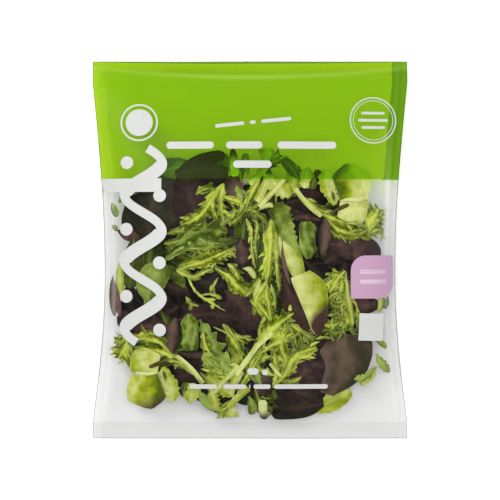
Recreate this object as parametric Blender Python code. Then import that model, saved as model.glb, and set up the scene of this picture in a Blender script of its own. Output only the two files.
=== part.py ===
"""A sealed pillow bag of salad leaves, lying on its back with its front face up.

The bag is one tube of film, sealed flat at both ends, and the leaves and the air in it swell it into a pillow.
It is sealed, so it is one closed solid out to the film. X runs across the bag, Y from the bottom seal to the
top seal, and Z up from the table. The origin is on the table, under the middle of the bag. Sizes are in metres.
"""

import math

import bmesh
import bpy

# Driving sizes.
SEAL_WIDTH = 0.200  # the tube of film laid flat, and so both end seals
BAG_HEIGHT = 0.240  # from one cut edge to the other
BOTTOM_SEAL = 0.0105
TOP_SEAL = 0.0135
WAIST_Y = -0.015  # where the bag is fullest
WAIST_DRAW = 0.0082  # how far each side is drawn in there
CROWN_HEIGHT = 0.049  # the fullest part above the table
FOLD_HEIGHT = 0.0205  # the side folds at the waist, above the table
SEAL_HEIGHT = 0.0105  # the seals, above the table
SEAL_DROOP = 0.0022  # how much lower a seal's cut edge hangs than its seal line
SEAL_WAVE = 0.0009  # how far the seals ripple up and down
EDGE_THICKNESS = 0.0008  # the two films of a seal, and the side folds

# The patch that lies flat on the table, which is the bag's resting face.
PATCH_HALF_WIDTH = 0.050
PATCH_BOTTOM_Y = -0.070
PATCH_TOP_Y = 0.048

# How the pillow curves: 0.5 is an ellipse and 1 a parabola.
WAIST_ROUNDNESS = 0.60
SEAL_ROUNDNESS = 1.00
CROWN_RISE = 0.52  # how fast the crown rises beyond a seal
SEAL_EASE = 0.06  # how gently it starts to rise at the seal line
UNDERSIDE_ROUNDNESS = 0.62

LEAF_LUMP = 0.0008  # how far the packed leaves push the film out
COLUMNS, ROWS = 34, 44  # faces across and along each side of the bag

BOTTOM_SEAL_LINE = -BAG_HEIGHT / 2 + BOTTOM_SEAL
TOP_SEAL_LINE = BAG_HEIGHT / 2 - TOP_SEAL


def share_between(low, high, value):
    """Where value lies from low to high, from 0 to 1."""
    return min(1.0, max(0.0, (value - low) / (high - low)))


def fullness(y):
    """0 at and beyond a seal line, 1 at the waist, along a quarter of a sine on either side."""
    if y < WAIST_Y:
        along = share_between(BOTTOM_SEAL_LINE, WAIST_Y, y)
    else:
        along = share_between(TOP_SEAL_LINE, WAIST_Y, y)
    return math.sin(math.pi / 2 * along)


def half_width(y):
    return SEAL_WIDTH / 2 - WAIST_DRAW * fullness(y)


def rim_height(x, y):
    """The height of the side folds and the seals, where the front film meets the back film."""
    full = fullness(y)
    seal = max(0.0, y - TOP_SEAL_LINE) / TOP_SEAL + max(0.0, BOTTOM_SEAL_LINE - y) / BOTTOM_SEAL
    ripple = math.sin(31.0 * x + 0.8) + 0.6 * math.sin(67.0 * x + 9.0 * y)
    level = SEAL_HEIGHT + (FOLD_HEIGHT - SEAL_HEIGHT) * full
    return level - SEAL_DROOP * seal + SEAL_WAVE * ripple * (1 - full) ** 2


def lumps(x, y):
    """The uneven outline that the leaves give the film: long waves crossed at odd angles."""
    waves = (
        math.sin(74.0 * x + 31.0 * y + 0.5)
        + math.sin(-58.0 * x + 83.0 * y + 2.1)
        + 0.7 * math.sin(121.0 * x - 47.0 * y + 4.0)
        + 0.5 * math.sin(39.0 * x + 142.0 * y + 1.2)
    )
    return LEAF_LUMP * waves


def crown_share(full):
    """How much of the crown's height the film has reached: 0 at a seal line and 1 at the waist."""
    start = SEAL_EASE**CROWN_RISE
    return ((full + SEAL_EASE) ** CROWN_RISE - start) / ((1 + SEAL_EASE) ** CROWN_RISE - start)


def front_height(x, y):
    full = fullness(y)
    across = 1 - min(1.0, (x / half_width(y)) ** 2)
    roundness = SEAL_ROUNDNESS + (WAIST_ROUNDNESS - SEAL_ROUNDNESS) * full
    crown = (CROWN_HEIGHT - FOLD_HEIGHT) * crown_share(full)
    return rim_height(x, y) + crown * across**roundness + lumps(x, y) * full * across


def back_height(x, y):
    """Zero over the resting patch, and rising from it to the side folds and the seals."""
    across = share_between(PATCH_HALF_WIDTH, half_width(y), abs(x))
    if y > PATCH_TOP_Y:
        along = share_between(PATCH_TOP_Y, TOP_SEAL_LINE, y)
    else:
        along = share_between(PATCH_BOTTOM_Y, BOTTOM_SEAL_LINE, y)
    level = ((1 - across**2) * (1 - along**2)) ** UNDERSIDE_ROUNDNESS
    return (rim_height(x, y) - EDGE_THICKNESS) * (1 - level)


def row_height(v):
    """A row's place along the bag, for v from -1 to 1. Rows crowd towards the seals, where the film bends most."""
    if abs(v) == 1:
        return v * BAG_HEIGHT / 2
    inner = 1 - 2 / ROWS
    t = v / inner
    middle = (BOTTOM_SEAL_LINE + TOP_SEAL_LINE) / 2
    reach = (TOP_SEAL_LINE - BOTTOM_SEAL_LINE) / 2
    return middle + reach * (0.45 * t + 0.55 * math.sin(math.pi / 2 * t))


def lay_out(verts, height_of):
    """Moves a flat grid's vertices onto one face of the bag. Columns crowd towards the side folds."""
    for vert in verts:
        u, v = round(vert.co.x, 6), round(vert.co.y, 6)
        y = row_height(v)
        x = half_width(y) * math.sin(math.pi / 2 * u)
        vert.co = (x, y, height_of(x, y))


def boundary(faces):
    """The outer edges of a sheet of faces."""
    return [edge for edge in {e for f in faces for e in f.edges} if edge.is_boundary]


def bag_mesh():
    """Two sheets of film, the front and the back, closed by a thin edge all round."""
    bm = bmesh.new()
    front = bmesh.ops.create_grid(bm, x_segments=COLUMNS, y_segments=ROWS, size=1.0)["verts"]
    copied = bmesh.ops.duplicate(bm, geom=bm.verts[:] + bm.edges[:] + bm.faces[:])["geom"]
    back = [item for item in copied if isinstance(item, bmesh.types.BMVert)]
    lay_out(front, front_height)
    lay_out(back, back_height)
    bmesh.ops.bridge_loops(bm, edges=boundary(bm.faces))
    bmesh.ops.recalc_face_normals(bm, faces=bm.faces)
    mesh = bpy.data.meshes.new("bag")
    bm.to_mesh(mesh)
    bm.free()
    mesh.shade_smooth()
    mesh.set_sharp_from_angle(angle=math.radians(75))
    return mesh


def film_material():
    """Clear film over green leaves, seen from far enough away to be one colour."""
    material = bpy.data.materials.new("filled_film")
    material.use_nodes = True
    shader = material.node_tree.nodes["Principled BSDF"]
    shader.inputs["Base Color"].default_value = (0.25, 0.42, 0.08, 1.0)
    shader.inputs["Roughness"].default_value = 0.2
    shader.inputs["Metallic"].default_value = 0.0
    return material


def clear_scene():
    for obj in list(bpy.data.objects):
        bpy.data.objects.remove(obj)


def main():
    clear_scene()
    collection = bpy.data.collections.new("salad_leaf_bag")
    bpy.context.scene.collection.children.link(collection)
    bag = bpy.data.objects.new("bag", bag_mesh())
    bag.data.materials.append(film_material())
    collection.objects.link(bag)


main()
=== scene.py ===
# %% [markdown]
# # A sealed bag of salad leaves
# The real thing is a tube of clear film, sealed flat at both ends, with baby leaves and air inside. It lies on its
# back. This lesson makes the film, its print, and every leaf as mesh, from a few driving sizes. Lengths are in
# metres, and MM turns millimetres into metres. X runs across the bag, Y towards its top seal, and Z up.

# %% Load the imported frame
import math

import bmesh
import bpy
import numpy as np
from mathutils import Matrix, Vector


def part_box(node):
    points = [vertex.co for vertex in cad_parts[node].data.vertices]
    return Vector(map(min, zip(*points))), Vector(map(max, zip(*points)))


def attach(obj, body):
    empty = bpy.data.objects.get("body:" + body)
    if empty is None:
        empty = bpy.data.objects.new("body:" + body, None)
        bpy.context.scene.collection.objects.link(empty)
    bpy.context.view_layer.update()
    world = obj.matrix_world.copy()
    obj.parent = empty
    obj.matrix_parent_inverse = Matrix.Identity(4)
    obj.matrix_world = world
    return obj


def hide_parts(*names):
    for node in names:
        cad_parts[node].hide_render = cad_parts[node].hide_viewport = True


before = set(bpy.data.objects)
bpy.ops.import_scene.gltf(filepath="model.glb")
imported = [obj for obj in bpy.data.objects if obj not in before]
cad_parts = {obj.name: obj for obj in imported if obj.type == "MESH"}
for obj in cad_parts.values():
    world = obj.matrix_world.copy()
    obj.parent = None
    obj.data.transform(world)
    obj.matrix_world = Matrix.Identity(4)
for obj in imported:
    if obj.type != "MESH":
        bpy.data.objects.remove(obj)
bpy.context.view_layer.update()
MM = 0.001
low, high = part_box("bag")
BAG_WIDTH = high.x - low.x
BAG_HEIGHT = high.y - low.y
print("the bag is", round(BAG_WIDTH / MM), "by", round(BAG_HEIGHT / MM), "by", round((high.z - low.z) / MM), "mm")

# %% [markdown]
# ## The camera
# The bag is seen from straight above, as in a catalogue. A long lens from far away keeps the crown of the pillow
# from growing larger than its edges. The picture takes in a square a little wider than the bag is tall.

# %% Camera straight above the bag
VIEW_WIDTH = BAG_HEIGHT * 1.323  # the width of the floor that the picture takes in
LENS, SENSOR = 180.0, 36.0
SEAL_LEVEL = 12 * MM
scene = bpy.context.scene
camera_data = bpy.data.cameras.new("catalogue_camera")
camera_data.lens, camera_data.sensor_width = LENS, SENSOR
camera = bpy.data.objects.new("catalogue_camera", camera_data)
camera.location = (0, 0, SEAL_LEVEL + VIEW_WIDTH * LENS / SENSOR)
scene.collection.objects.link(camera)
scene.camera = camera
scene.view_settings.view_transform = "Standard"
print("the camera hangs", round(camera.location.z, 2), "m above the table")

# %% [markdown]
# ## Floor and light
# A matt white floor, five softboxes and a bright sky give the even light of a catalogue. The softboxes are broad
# and far away, because the film would mirror small lamps as hard spots and hide the leaves under them.

# %% Helpers for materials
def new_material(name):
    """An empty node material and its node tree, with an output node."""
    material = bpy.data.materials.new(name)
    material.use_nodes = True
    tree = material.node_tree
    tree.nodes.clear()
    tree.nodes.new("ShaderNodeOutputMaterial")
    return material, tree


def add(tree, kind, links=None, **settings):
    """A new node. A setting goes to the property or socket of that name, and a link comes from another node."""
    node = tree.nodes.new("ShaderNode" + kind)
    for name, value in settings.items():
        if hasattr(node, name):
            setattr(node, name, value)
        else:
            node.inputs[name.replace("_", " ")].default_value = value
    for name, source in (links or {}).items():
        tree.links.new(source, node.inputs[name])
    return node


def finish_material(tree, shader):
    tree.links.new(shader, tree.nodes["Material Output"].inputs["Surface"])


def srgb(red, green, blue, alpha=1.0):
    """A colour given as on a screen, from 0 to 255, in the linear light that shaders use."""
    linear = [(c / 255 / 12.92 if c < 11 else ((c / 255 + 0.055) / 1.055) ** 2.4) for c in (red, green, blue)]
    return (*linear, alpha)


# %% Floor
FLOOR_SIZE = 6.0
bm = bmesh.new()
bmesh.ops.create_grid(bm, x_segments=1, y_segments=1, size=FLOOR_SIZE / 2)
floor_mesh = bpy.data.meshes.new("floor")
bm.to_mesh(floor_mesh)
bm.free()
floor = bpy.data.objects.new("floor", floor_mesh)
floor.location.z = -0.3 * MM
scene.collection.objects.link(floor)
floor_paint, tree = new_material("floor_paint")
grain = add(tree, "TexNoise", Scale=40.0)
tone = add(tree, "MapRange", {"Value": grain.outputs["Fac"]}, To_Min=0.88, To_Max=0.92)
paint = add(tree, "BsdfDiffuse", {"Color": tone.outputs["Result"]})
glow = add(tree, "Emission", Strength=0.16)
lit_table = add(tree, "AddShader", {0: paint.outputs["BSDF"], 1: glow.outputs["Emission"]})
finish_material(tree, lit_table.outputs["Shader"])
floor_mesh.materials.append(floor_paint)

# %% Softboxes and sky
WORLD_STRENGTH = 0.33
world = bpy.data.worlds.new("white_room")
world.use_nodes = True
world.node_tree.nodes["Background"].inputs["Color"].default_value = (1, 1, 1, 1)
world.node_tree.nodes["Background"].inputs["Strength"].default_value = WORLD_STRENGTH
scene.world = world


def softbox(name, place, size, power):
    """An area light at place, aimed at the middle of the bag."""
    data = bpy.data.lights.new(name, "AREA")
    data.shape, data.size, data.size_y = "RECTANGLE", size[0], size[1]
    data.energy = power
    light = bpy.data.objects.new(name, data)
    light.location = place
    light.rotation_euler = (-Vector(place)).to_track_quat("-Z", "Y").to_euler()
    scene.collection.objects.link(light)
    return light


softbox("overhead_box", (0.0, 0.2, 2.4), (1.2, 1.2), 34.0)
softbox("key_box", (-0.9, 1.1, 1.6), (0.7, 0.7), 18.0)
softbox("left_box", (-1.6, -0.3, 1.4), (1.0, 1.4), 6.0)
softbox("right_box", (1.6, 0.0, 1.4), (1.0, 1.4), 9.0)
softbox("bottom_box", (0.0, -1.6, 1.3), (1.4, 1.0), 8.0)
print("five softboxes and a sky at", WORLD_STRENGTH)

# %% [markdown]
# ## The form of the film
# A pillow bag is a tube that can't stretch, so where it swells its sides are drawn in. The two heights below
# repeat the rule that the solid model was built with, so that the film, its print and the leaves all share it.

# %% Sizes of the pillow
BOTTOM_SEAL, TOP_SEAL = 10.5 * MM, 13.5 * MM
WAIST_Y = -15 * MM
WAIST_DRAW = 8.2 * MM
CROWN_HEIGHT, FOLD_HEIGHT, SEAL_HEIGHT = 49 * MM, 20.5 * MM, 10.5 * MM
SEAL_DROOP, SEAL_WAVE, LEAF_LUMP = 2.2 * MM, 0.9 * MM, 0.8 * MM
FILM_GAP = 0.25 * MM  # between the two films of a seal
PATCH_HALF_WIDTH, PATCH_BOTTOM_Y, PATCH_TOP_Y = 50 * MM, -70 * MM, 48 * MM
WAIST_ROUNDNESS, SEAL_ROUNDNESS, UNDERSIDE_ROUNDNESS = 0.60, 1.00, 0.62
CROWN_RISE, SEAL_EASE = 0.52, 0.06
BOTTOM_LINE = -BAG_HEIGHT / 2 + BOTTOM_SEAL
TOP_LINE = BAG_HEIGHT / 2 - TOP_SEAL


def share_between(low_end, high_end, value):
    return np.clip((value - low_end) / (high_end - low_end), 0, 1)


def fullness(y):
    """0 at and beyond a seal line, 1 at the waist."""
    along = np.where(y < WAIST_Y, share_between(BOTTOM_LINE, WAIST_Y, y), share_between(TOP_LINE, WAIST_Y, y))
    return np.sin(np.pi / 2 * along)


def half_width(y):
    return BAG_WIDTH / 2 - WAIST_DRAW * fullness(y)


def rim_height(x, y):
    """The height of the side folds and the seals."""
    full = fullness(y)
    seal = np.maximum(0, y - TOP_LINE) / TOP_SEAL + np.maximum(0, BOTTOM_LINE - y) / BOTTOM_SEAL
    ripple = np.sin(31 * x + 0.8) + 0.6 * np.sin(67 * x + 9 * y)
    return SEAL_HEIGHT + (FOLD_HEIGHT - SEAL_HEIGHT) * full - SEAL_DROOP * seal + SEAL_WAVE * ripple * (1 - full) ** 2


def lumps(x, y):
    """The uneven outline that the leaves give the film."""
    return LEAF_LUMP * (
        np.sin(74 * x + 31 * y + 0.5)
        + np.sin(-58 * x + 83 * y + 2.1)
        + 0.7 * np.sin(121 * x - 47 * y + 4.0)
        + 0.5 * np.sin(39 * x + 142 * y + 1.2)
    )


def tension_folds(x, y):
    """Small folds that run in from the seals, where the swelling film is gathered."""
    from_seal = np.minimum(TOP_LINE - y, y - BOTTOM_LINE)
    near = np.exp(-np.maximum(from_seal, 0) / (11 * MM)) * share_between(-2 * MM, 5 * MM, from_seal)
    side = np.where(y > 0, 1.0, -1.0)
    fan = np.sin(380 * x + 1.3 * side + 2.0 * np.sin(55 * x + side)) + 0.5 * np.sin(690 * x - 60 * y)
    return 0.28 * MM * near * fan


def front_z(x, y):
    full = fullness(y)
    across = 1 - np.minimum(1, (x / half_width(y)) ** 2)
    roundness = SEAL_ROUNDNESS + (WAIST_ROUNDNESS - SEAL_ROUNDNESS) * full
    start = SEAL_EASE**CROWN_RISE
    rise = ((full + SEAL_EASE) ** CROWN_RISE - start) / ((1 + SEAL_EASE) ** CROWN_RISE - start)
    swell = (CROWN_HEIGHT - FOLD_HEIGHT) * rise * across**roundness
    return rim_height(x, y) + swell + lumps(x, y) * full * across + tension_folds(x, y) * across


def back_z(x, y):
    across = share_between(PATCH_HALF_WIDTH, half_width(y), np.abs(x))
    along = np.where(
        y > PATCH_TOP_Y, share_between(PATCH_TOP_Y, TOP_LINE, y), share_between(PATCH_BOTTOM_Y, BOTTOM_LINE, y)
    )
    level = ((1 - across**2) * (1 - along**2)) ** UNDERSIDE_ROUNDNESS
    return (rim_height(x, y) - FILM_GAP) * (1 - level)


print("the crown stands", round(float(front_z(0.0, WAIST_Y)) / MM, 1), "mm above the table")

# %% [markdown]
# ## Mesh from grids
# Film and leaves are all sheets, so one helper turns a grid of points into quads. Each sheet also carries numbers
# on its points, such as how near a point is to a leaf's rib, which the materials read as attributes.

# %% A pile of grids that becomes one mesh
class Sheets:
    """Collects grids of points, with a map and named numbers for each point, and makes one smooth mesh of them."""

    def __init__(self):
        self.points, self.faces, self.maps, self.slots, self.numbers = [], [], [], [], {}
        self.count = 0

    def add(self, x, y, z, u, v, slot=0, **numbers):
        rows, columns = x.shape
        self.points.append(np.stack([x, y, z], -1).reshape(-1, 3))
        self.maps.append(np.stack([np.broadcast_to(u, x.shape), np.broadcast_to(v, x.shape)], -1).reshape(-1, 2))
        first = self.count + np.arange(rows * columns).reshape(rows, columns)
        quads = np.stack([first[:-1, :-1], first[:-1, 1:], first[1:, 1:], first[1:, :-1]], -1).reshape(-1, 4)
        self.faces.append(quads)
        self.slots.append(np.broadcast_to(slot, (rows - 1, columns - 1)).reshape(-1))
        for name, value in numbers.items():
            self.numbers.setdefault(name, []).append(np.broadcast_to(value, x.shape).reshape(-1))
        self.count += rows * columns

    def build(self, name, materials):
        points, faces = np.concatenate(self.points), np.concatenate(self.faces)
        mesh = bpy.data.meshes.new(name)
        mesh.from_pydata(points.tolist(), [], faces.tolist())
        mesh.polygons.foreach_set("material_index", np.concatenate(self.slots).astype(np.int32))
        uv = mesh.uv_layers.new(name="sheet")
        corner = np.zeros(len(mesh.loops), np.int32)
        mesh.loops.foreach_get("vertex_index", corner)
        uv.data.foreach_set("uv", np.concatenate(self.maps)[corner].astype(np.float32).reshape(-1))
        for label, parts in self.numbers.items():
            layer = mesh.attributes.new(label, "FLOAT", "POINT")
            layer.data.foreach_set("value", np.concatenate(parts).astype(np.float32))
        mesh.shade_smooth()
        for material in materials:
            mesh.materials.append(material)
        piece = bpy.data.objects.new(name, mesh)
        scene.collection.objects.link(piece)
        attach(piece, "root")
        print(name, "has", 2 * len(faces), "triangles")
        return piece


# %% [markdown]
# ## Clear film
# Film this thin doesn't bend light, so a Transparent shader stands for it and a little gloss lies over it. The
# gloss grows where the film is seen aslant. Where two films are bonded the film looks milky. Along the side folds,
# the bow under the top seal and one crease near the right fold, a white haze paints the highlights the softboxes
# would give there. The haze number on each point adds both. The header is the same film under a lime ink, which
# only filters light.

# %% Film materials
def film_material(name, clear, haze_colour, gloss=0.001):
    """Film that lets through the colour clear, with milky haze and painted white highlights by attribute and gloss by
    angle.
    """
    material, tree = new_material(name)
    see = add(tree, "BsdfTransparent", Color=clear)
    milk = add(tree, "BsdfDiffuse", Color=haze_colour)
    haze = add(tree, "Attribute", attribute_name="haze")
    body = add(tree, "MixShader", {0: haze.outputs["Fac"], 1: see.outputs["BSDF"], 2: milk.outputs["BSDF"]})
    ripple = add(tree, "TexNoise", Scale=90.0, Detail=2.0)
    place = add(tree, "TexCoord")
    tree.links.new(place.outputs["Object"], ripple.inputs["Vector"])
    bump = add(tree, "Bump", {"Height": ripple.outputs["Fac"]}, Strength=0.12, Distance=0.4 * MM)
    shine = add(tree, "BsdfGlossy", {"Normal": bump.outputs["Normal"]}, Color=(1, 1, 1, 1), Roughness=0.16)
    aslant = add(tree, "LayerWeight", Blend=0.5)
    curve = add(tree, "Math", {0: aslant.outputs["Facing"]}, operation="POWER")
    curve.inputs[1].default_value = 3.0
    grow = add(tree, "Math", {0: curve.outputs["Value"]}, operation="MULTIPLY_ADD")
    grow.inputs[1].default_value = 0.30
    grow.inputs[2].default_value = gloss
    film = add(tree, "MixShader", {0: grow.outputs["Value"], 1: body.outputs["Shader"], 2: shine.outputs["BSDF"]})
    finish_material(tree, film.outputs["Shader"])
    return material


CLEAR = (0.855, 0.855, 0.854, 1)
SEALED = (0.80, 0.80, 0.798, 1)
# Film along the bottom seal line lets less light through: a painted shadow line at the seal's edge.
CREASE = (0.79, 0.79, 0.788, 1)
CUT_EDGE = (0.56, 0.56, 0.56, 1)
LIME = (0.43, 0.655, 0.018, 1)
SEALED_LIME = (0.395, 0.61, 0.008, 1)
LIME_EDGE = (0.13, 0.25, 0.02, 1)
WRAPPED_LIME = (0.39, 0.53, 0.16, 1)  # on the back, where the ink wraps round the fold
film_skins = [
    film_material("clear_film", CLEAR, srgb(232, 232, 230)),
    film_material("sealed_film", SEALED, srgb(200, 200, 198)),
    film_material("seal_line_film", CREASE, srgb(190, 190, 188)),
    film_material("film_edge", CUT_EDGE, srgb(150, 150, 150)),
    film_material("lime_film", LIME, srgb(200, 232, 110)),
    film_material("sealed_lime_film", SEALED_LIME, srgb(200, 232, 110)),
    film_material("lime_film_edge", LIME_EDGE, srgb(110, 150, 40)),
    film_material("wrapped_lime_film", WRAPPED_LIME, srgb(150, 196, 50)),
]

# %% [markdown]
# The film itself is two grids, front and back, that share their rim. Columns crowd towards the side folds, where
# the film turns down, and rows keep an edge on the header's lower line, so that the ink ends in a clean line.

# %% Film mesh
HEADER_BOTTOM = 44.4 * MM
WRAP = 9.5 * MM  # how far the lime ink wraps round the right fold onto the back
FILM_COLUMNS, FILM_ROWS = 170, 190
EDGE_LINE = 0.5 * MM
BOW_END, BOW_DEPTH = BAG_HEIGHT / 2 - 3.5 * MM, 6.5 * MM
# Where a painted highlight, white haze in the film, runs near the right fold.
CREASE_X, CREASE_Y = 86.5 * MM, 38.0 * MM


def film_rows():
    """Places along the bag, with extra ones at each edge of ink and seal."""
    along = np.linspace(-1, 1, FILM_ROWS + 1)
    rows = BAG_HEIGHT / 2 * (0.72 * along + 0.28 * np.sin(np.pi / 2 * along))
    edge = BAG_HEIGHT / 2 - EDGE_LINE
    marks = [-edge, edge, BOTTOM_LINE, BOTTOM_LINE - 1.7 * MM, BOTTOM_LINE - 0.3 * MM, BOW_END, HEADER_BOTTOM]
    return np.array(sorted(set(np.round(np.concatenate([rows, marks]), 6))))


def bow(x):
    """How far the seal's lower edge bows down: the swelling film tilts it away, most in the middle."""
    return BOW_DEPTH * (1 - (x / (BAG_WIDTH / 2)) ** 2)


def haze_on(x, y):
    """How milky the film is, in the bottom seal and a little everywhere, plus white haze that paints highlights along
    the bow under the top seal, along the side folds and in one crease near the right fold."""
    seal = share_between(BOTTOM_LINE + 1 * MM, BOTTOM_LINE - 4 * MM, y)
    # Painted highlights: white haze along the bow under the top seal, along the side folds and near the right fold,
    # where the softboxes would shine in the film.
    on_bow = np.exp(-(((y - BOW_END + bow(x)) / (1.5 * MM)) ** 2)) * (1 - 0.6 * np.abs(x) / (BAG_WIDTH / 2))
    fold = half_width(y) - np.abs(x)
    streak = np.exp(-(((fold - 6.5 * MM) / (1.3 * MM)) ** 2)) + 0.7 * np.exp(-(((fold - 2.6 * MM) / (0.8 * MM)) ** 2))
    crease = np.exp(-(((x - CREASE_X) / (2.4 * MM)) ** 2) - ((y - CREASE_Y) / (38 * MM)) ** 4)
    crease = crease + 0.08 * np.exp(-(((x - CREASE_X + 6 * MM) / (8 * MM)) ** 2) - ((y - CREASE_Y) / (38 * MM)) ** 4)
    under_ink = y > HEADER_BOTTOM
    clear_share = np.where(under_ink, 0.3, 1.0)
    return 0.003 + 0.024 * under_ink + 0.03 * seal + clear_share * (0.14 * streak + 0.3 * crease) + 0.20 * on_bow


film = Sheets()
rows_y = film_rows()[:, None]
turn = np.linspace(-1, 1, FILM_COLUMNS + 1)[None, :]
film_x = half_width(rows_y) * np.sin(np.pi / 2 * turn)
eased = np.interp(rows_y, [BOW_END - 22 * MM, BOW_END, BAG_HEIGHT / 2], [0, 1, 0])
film_y = rows_y - eased * bow(film_x)
face_y = (rows_y[:-1] + rows_y[1:]) / 2 + 0 * film_x[1:, 1:]
face_x = (film_x[:-1, :-1] + film_x[1:, 1:]) / 2
from_side = half_width(face_y) - np.abs(face_x)
from_end = BAG_HEIGHT / 2 - np.abs(face_y)
in_header = face_y > HEADER_BOTTOM
# The faces of the painted shadow line along the bottom seal.
on_line = np.abs(face_y - BOTTOM_LINE + 1 * MM) < 0.7 * MM
on_rim = (from_side < EDGE_LINE) | (from_end < EDGE_LINE)
wrapped = in_header & (face_x > 0) & (from_side < WRAP)
clear_slot = np.select([on_rim, on_line, face_y < BOTTOM_LINE], [3, 2, 1], 0)
front_slot = np.where(in_header, np.select([on_rim, face_y > BOW_END], [6, 5], 4), clear_slot)
back_slot = np.select([on_rim & ~in_header, wrapped], [3, 7], 0)
film.add(film_x, film_y, front_z(film_x, film_y), film_x, film_y, front_slot, haze=haze_on(film_x, film_y))
back_x, back_y = film_x[:, ::-1], film_y[:, ::-1]
film.add(back_x, back_y, back_z(back_x, back_y), back_x, back_y, back_slot[:, ::-1],
         haze=0.4 * haze_on(back_x, back_y))
film_piece = film.build("film", film_skins)
bm = bmesh.new()
bm.from_mesh(film_piece.data)
bmesh.ops.remove_doubles(bm, verts=[v for v in bm.verts if v.is_boundary], dist=0.3 * MM)
bm.to_mesh(film_piece.data)
bm.free()
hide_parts("bag")

# %% [markdown]
# ## How a leaf is made
# Every leaf is one thin sheet. Its spine is a smooth curve through a few points, and an outline says how far the
# blade reaches on either side of it. Then the sheet is laid a little below the film, and relief takes parts of it
# further down: an arch along the spine, a cup or a fold across it, a twist, and ruffles that grow to the margin.
# A leaf never rises above its own depth, so the leaves lie on each other as they do in a packed bag.

# %% Curves for spines, in millimetres
def smooth_path(points, rows):
    """Evenly spaced points on a smooth curve through a few given ones, the heading at each, and the length."""
    knots = np.array(points, float)
    if len(knots) == 2:
        knots = np.array([knots[0], knots.mean(0), knots[1]])
    knots = np.concatenate([[2 * knots[0] - knots[1]], knots, [2 * knots[-1] - knots[-2]]])
    u = np.linspace(0, 1, 24, endpoint=False)[:, None]
    spans = []
    for a, b, c, d in zip(knots[:-3], knots[1:-2], knots[2:-1], knots[3:]):
        spans.append(b + (c - a) / 2 * u + (a - 2.5 * b + 2 * c - d / 2) * u**2 + (3 * b - a - 3 * c + d) / 2 * u**3)
    fine = np.concatenate(spans + [knots[-2:-1]])
    run = np.concatenate([[0], np.cumsum(np.hypot(*np.diff(fine, axis=0).T))])
    even = np.linspace(0, run[-1], rows + 1)
    x, y = np.interp(even, run, fine[:, 0]), np.interp(even, run, fine[:, 1])
    return x, y, np.arctan2(np.gradient(y), np.gradient(x)), run[-1]


def ray(x, y, heading, length, bend=0.0):
    """Three points of a bent line that starts at x, y. Angles are in degrees."""
    first, last = math.radians(heading + bend / 4), math.radians(heading + 3 * bend / 4)
    middle = (x + math.cos(first) * length / 2, y + math.sin(first) * length / 2)
    return [(x, y), middle, (middle[0] + math.cos(last) * length / 2, middle[1] + math.sin(last) * length / 2)]


def arc(x, y, heading, length, bend=0.0):
    """The same, with its middle at x, y."""
    turned = math.radians(heading)
    return ray(x - math.cos(turned) * length / 2, y - math.sin(turned) * length / 2, heading - bend / 2, length, bend)


# %% Lay a sheet in the bag
FILM_ROOM = 0.5 * MM  # between the film and the nearest leaves
SIDE_ROOM = 1.8 * MM


def soft_limit(value, limit):
    """Keeps value within limit on either side, easing up to it."""
    return limit * np.tanh(np.abs(value / limit) ** 12) ** (1 / 12) * np.sign(value)


def lay(sheets, x, y, drop, depth, u, v, **numbers):
    """Lays a sheet depth below the front film, with drop as how much further down each point goes."""
    middle = (BOTTOM_LINE + TOP_LINE) / 2
    y = middle + soft_limit(y - middle, TOP_LINE - middle - 1 * MM)
    x = soft_limit(x, half_width(y) - SIDE_ROOM)
    top, bottom = front_z(x, y) - FILM_ROOM, back_z(x, y) + FILM_ROOM
    z = np.maximum(top - np.minimum(depth + drop, 0.96 * (top - bottom)), bottom)
    sheets.add(x, y, z, u, v, **numbers)


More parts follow.
